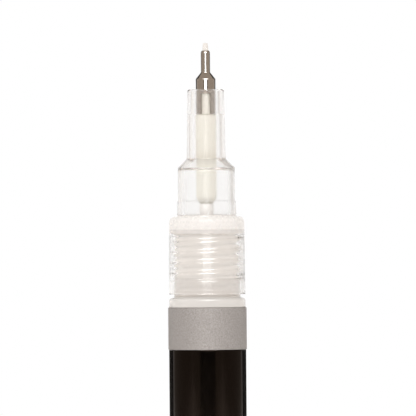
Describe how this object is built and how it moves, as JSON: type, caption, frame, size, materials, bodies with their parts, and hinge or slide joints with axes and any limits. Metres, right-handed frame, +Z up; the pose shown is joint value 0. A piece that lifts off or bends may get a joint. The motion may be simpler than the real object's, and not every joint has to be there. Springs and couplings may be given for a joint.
{
  "type": "paint marker",
  "caption": "Slim valve-action paint marker with a needle tip in a clear stepped screw-on nose, a silver band and a black barrel.",
  "frame": {"origin": "centre of the flat end of the tail, on the surface that the marker stands on", "axes": "+Z runs up the marker's axis from the tail to the nib; Y runs through the two slots of the ferrule and X across its two legs"},
  "size_m": [0.0112, 0.0112, 0.14],
  "materials": {
    "black_plastic": "deep black glossy moulded plastic",
    "band_metal": "satin silver metal with a fine grain",
    "clear_plastic": "clear, slightly warm moulded plastic",
    "white_plastic": "natural white moulded plastic",
    "soft_seal": "pale translucent elastomer",
    "ferrule_steel": "bright drawn stainless steel",
    "spring_steel": "drawn stainless wire",
    "ball_steel": "polished steel",
    "nib_fibre": "off-white hard bonded fibre",
    "core_fibre": "cream bonded fibre rod"
  },
  "bodies": {
    "barrel_unit": {"barrel": "black_plastic", "mouth_band": "band_metal", "tail_plug": "black_plastic", "valve_neck": "clear_plastic", "stem_guide": "white_plastic", "spring_cage": "white_plastic", "valve_spring": "spring_steel"},
    "gasket_ring": {"nose_gasket": "soft_seal"},
    "nose_unit": {"nose_cone": "clear_plastic", "tip_ferrule": "ferrule_steel"},
    "nib_unit": {"nib": "nib_fibre", "feed_core": "core_fibre"},
    "valve_unit": {"valve_stem": "white_plastic", "valve_washer": "soft_seal"},
    "ball": {"mixing_ball": "ball_steel"}
  },
  "joints": [
    {"name": "nose_lift", "type": "slide", "parent": "barrel_unit", "child": "gasket_ring", "axis": [0, 0, 1], "range_m": [0, 0.0075]},
    {"name": "nose_turn", "type": "hinge", "parent": "gasket_ring", "child": "nose_unit", "pos_m": [0, 0, 0.1139], "axis": [0, 0, 1], "range_deg": [0, 1805]},
    {"name": "nib_press", "type": "slide", "parent": "nose_unit", "child": "nib_unit", "axis": [0, 0, -1], "range_m": [0, 0.001], "stiffness_N_per_m": 1680, "springref_m": -0.001},
    {"name": "valve_open", "type": "slide", "parent": "barrel_unit", "child": "valve_unit", "axis": [0, 0, -1], "range_m": [0, 0.00101], "deforming": ["valve_spring"]},
    {"name": "ball_rattle", "type": "slide", "parent": "barrel_unit", "child": "ball", "axis": [0, 0, 1], "range_m": [0, 0.0719]}
  ],
  "couplings": [
    {"joint": "nose_turn", "follows": "nose_lift", "rad_per_m": 4188.8},
    {"joint": "valve_open", "follows": "nib_press", "ratio": 1}
  ]
}
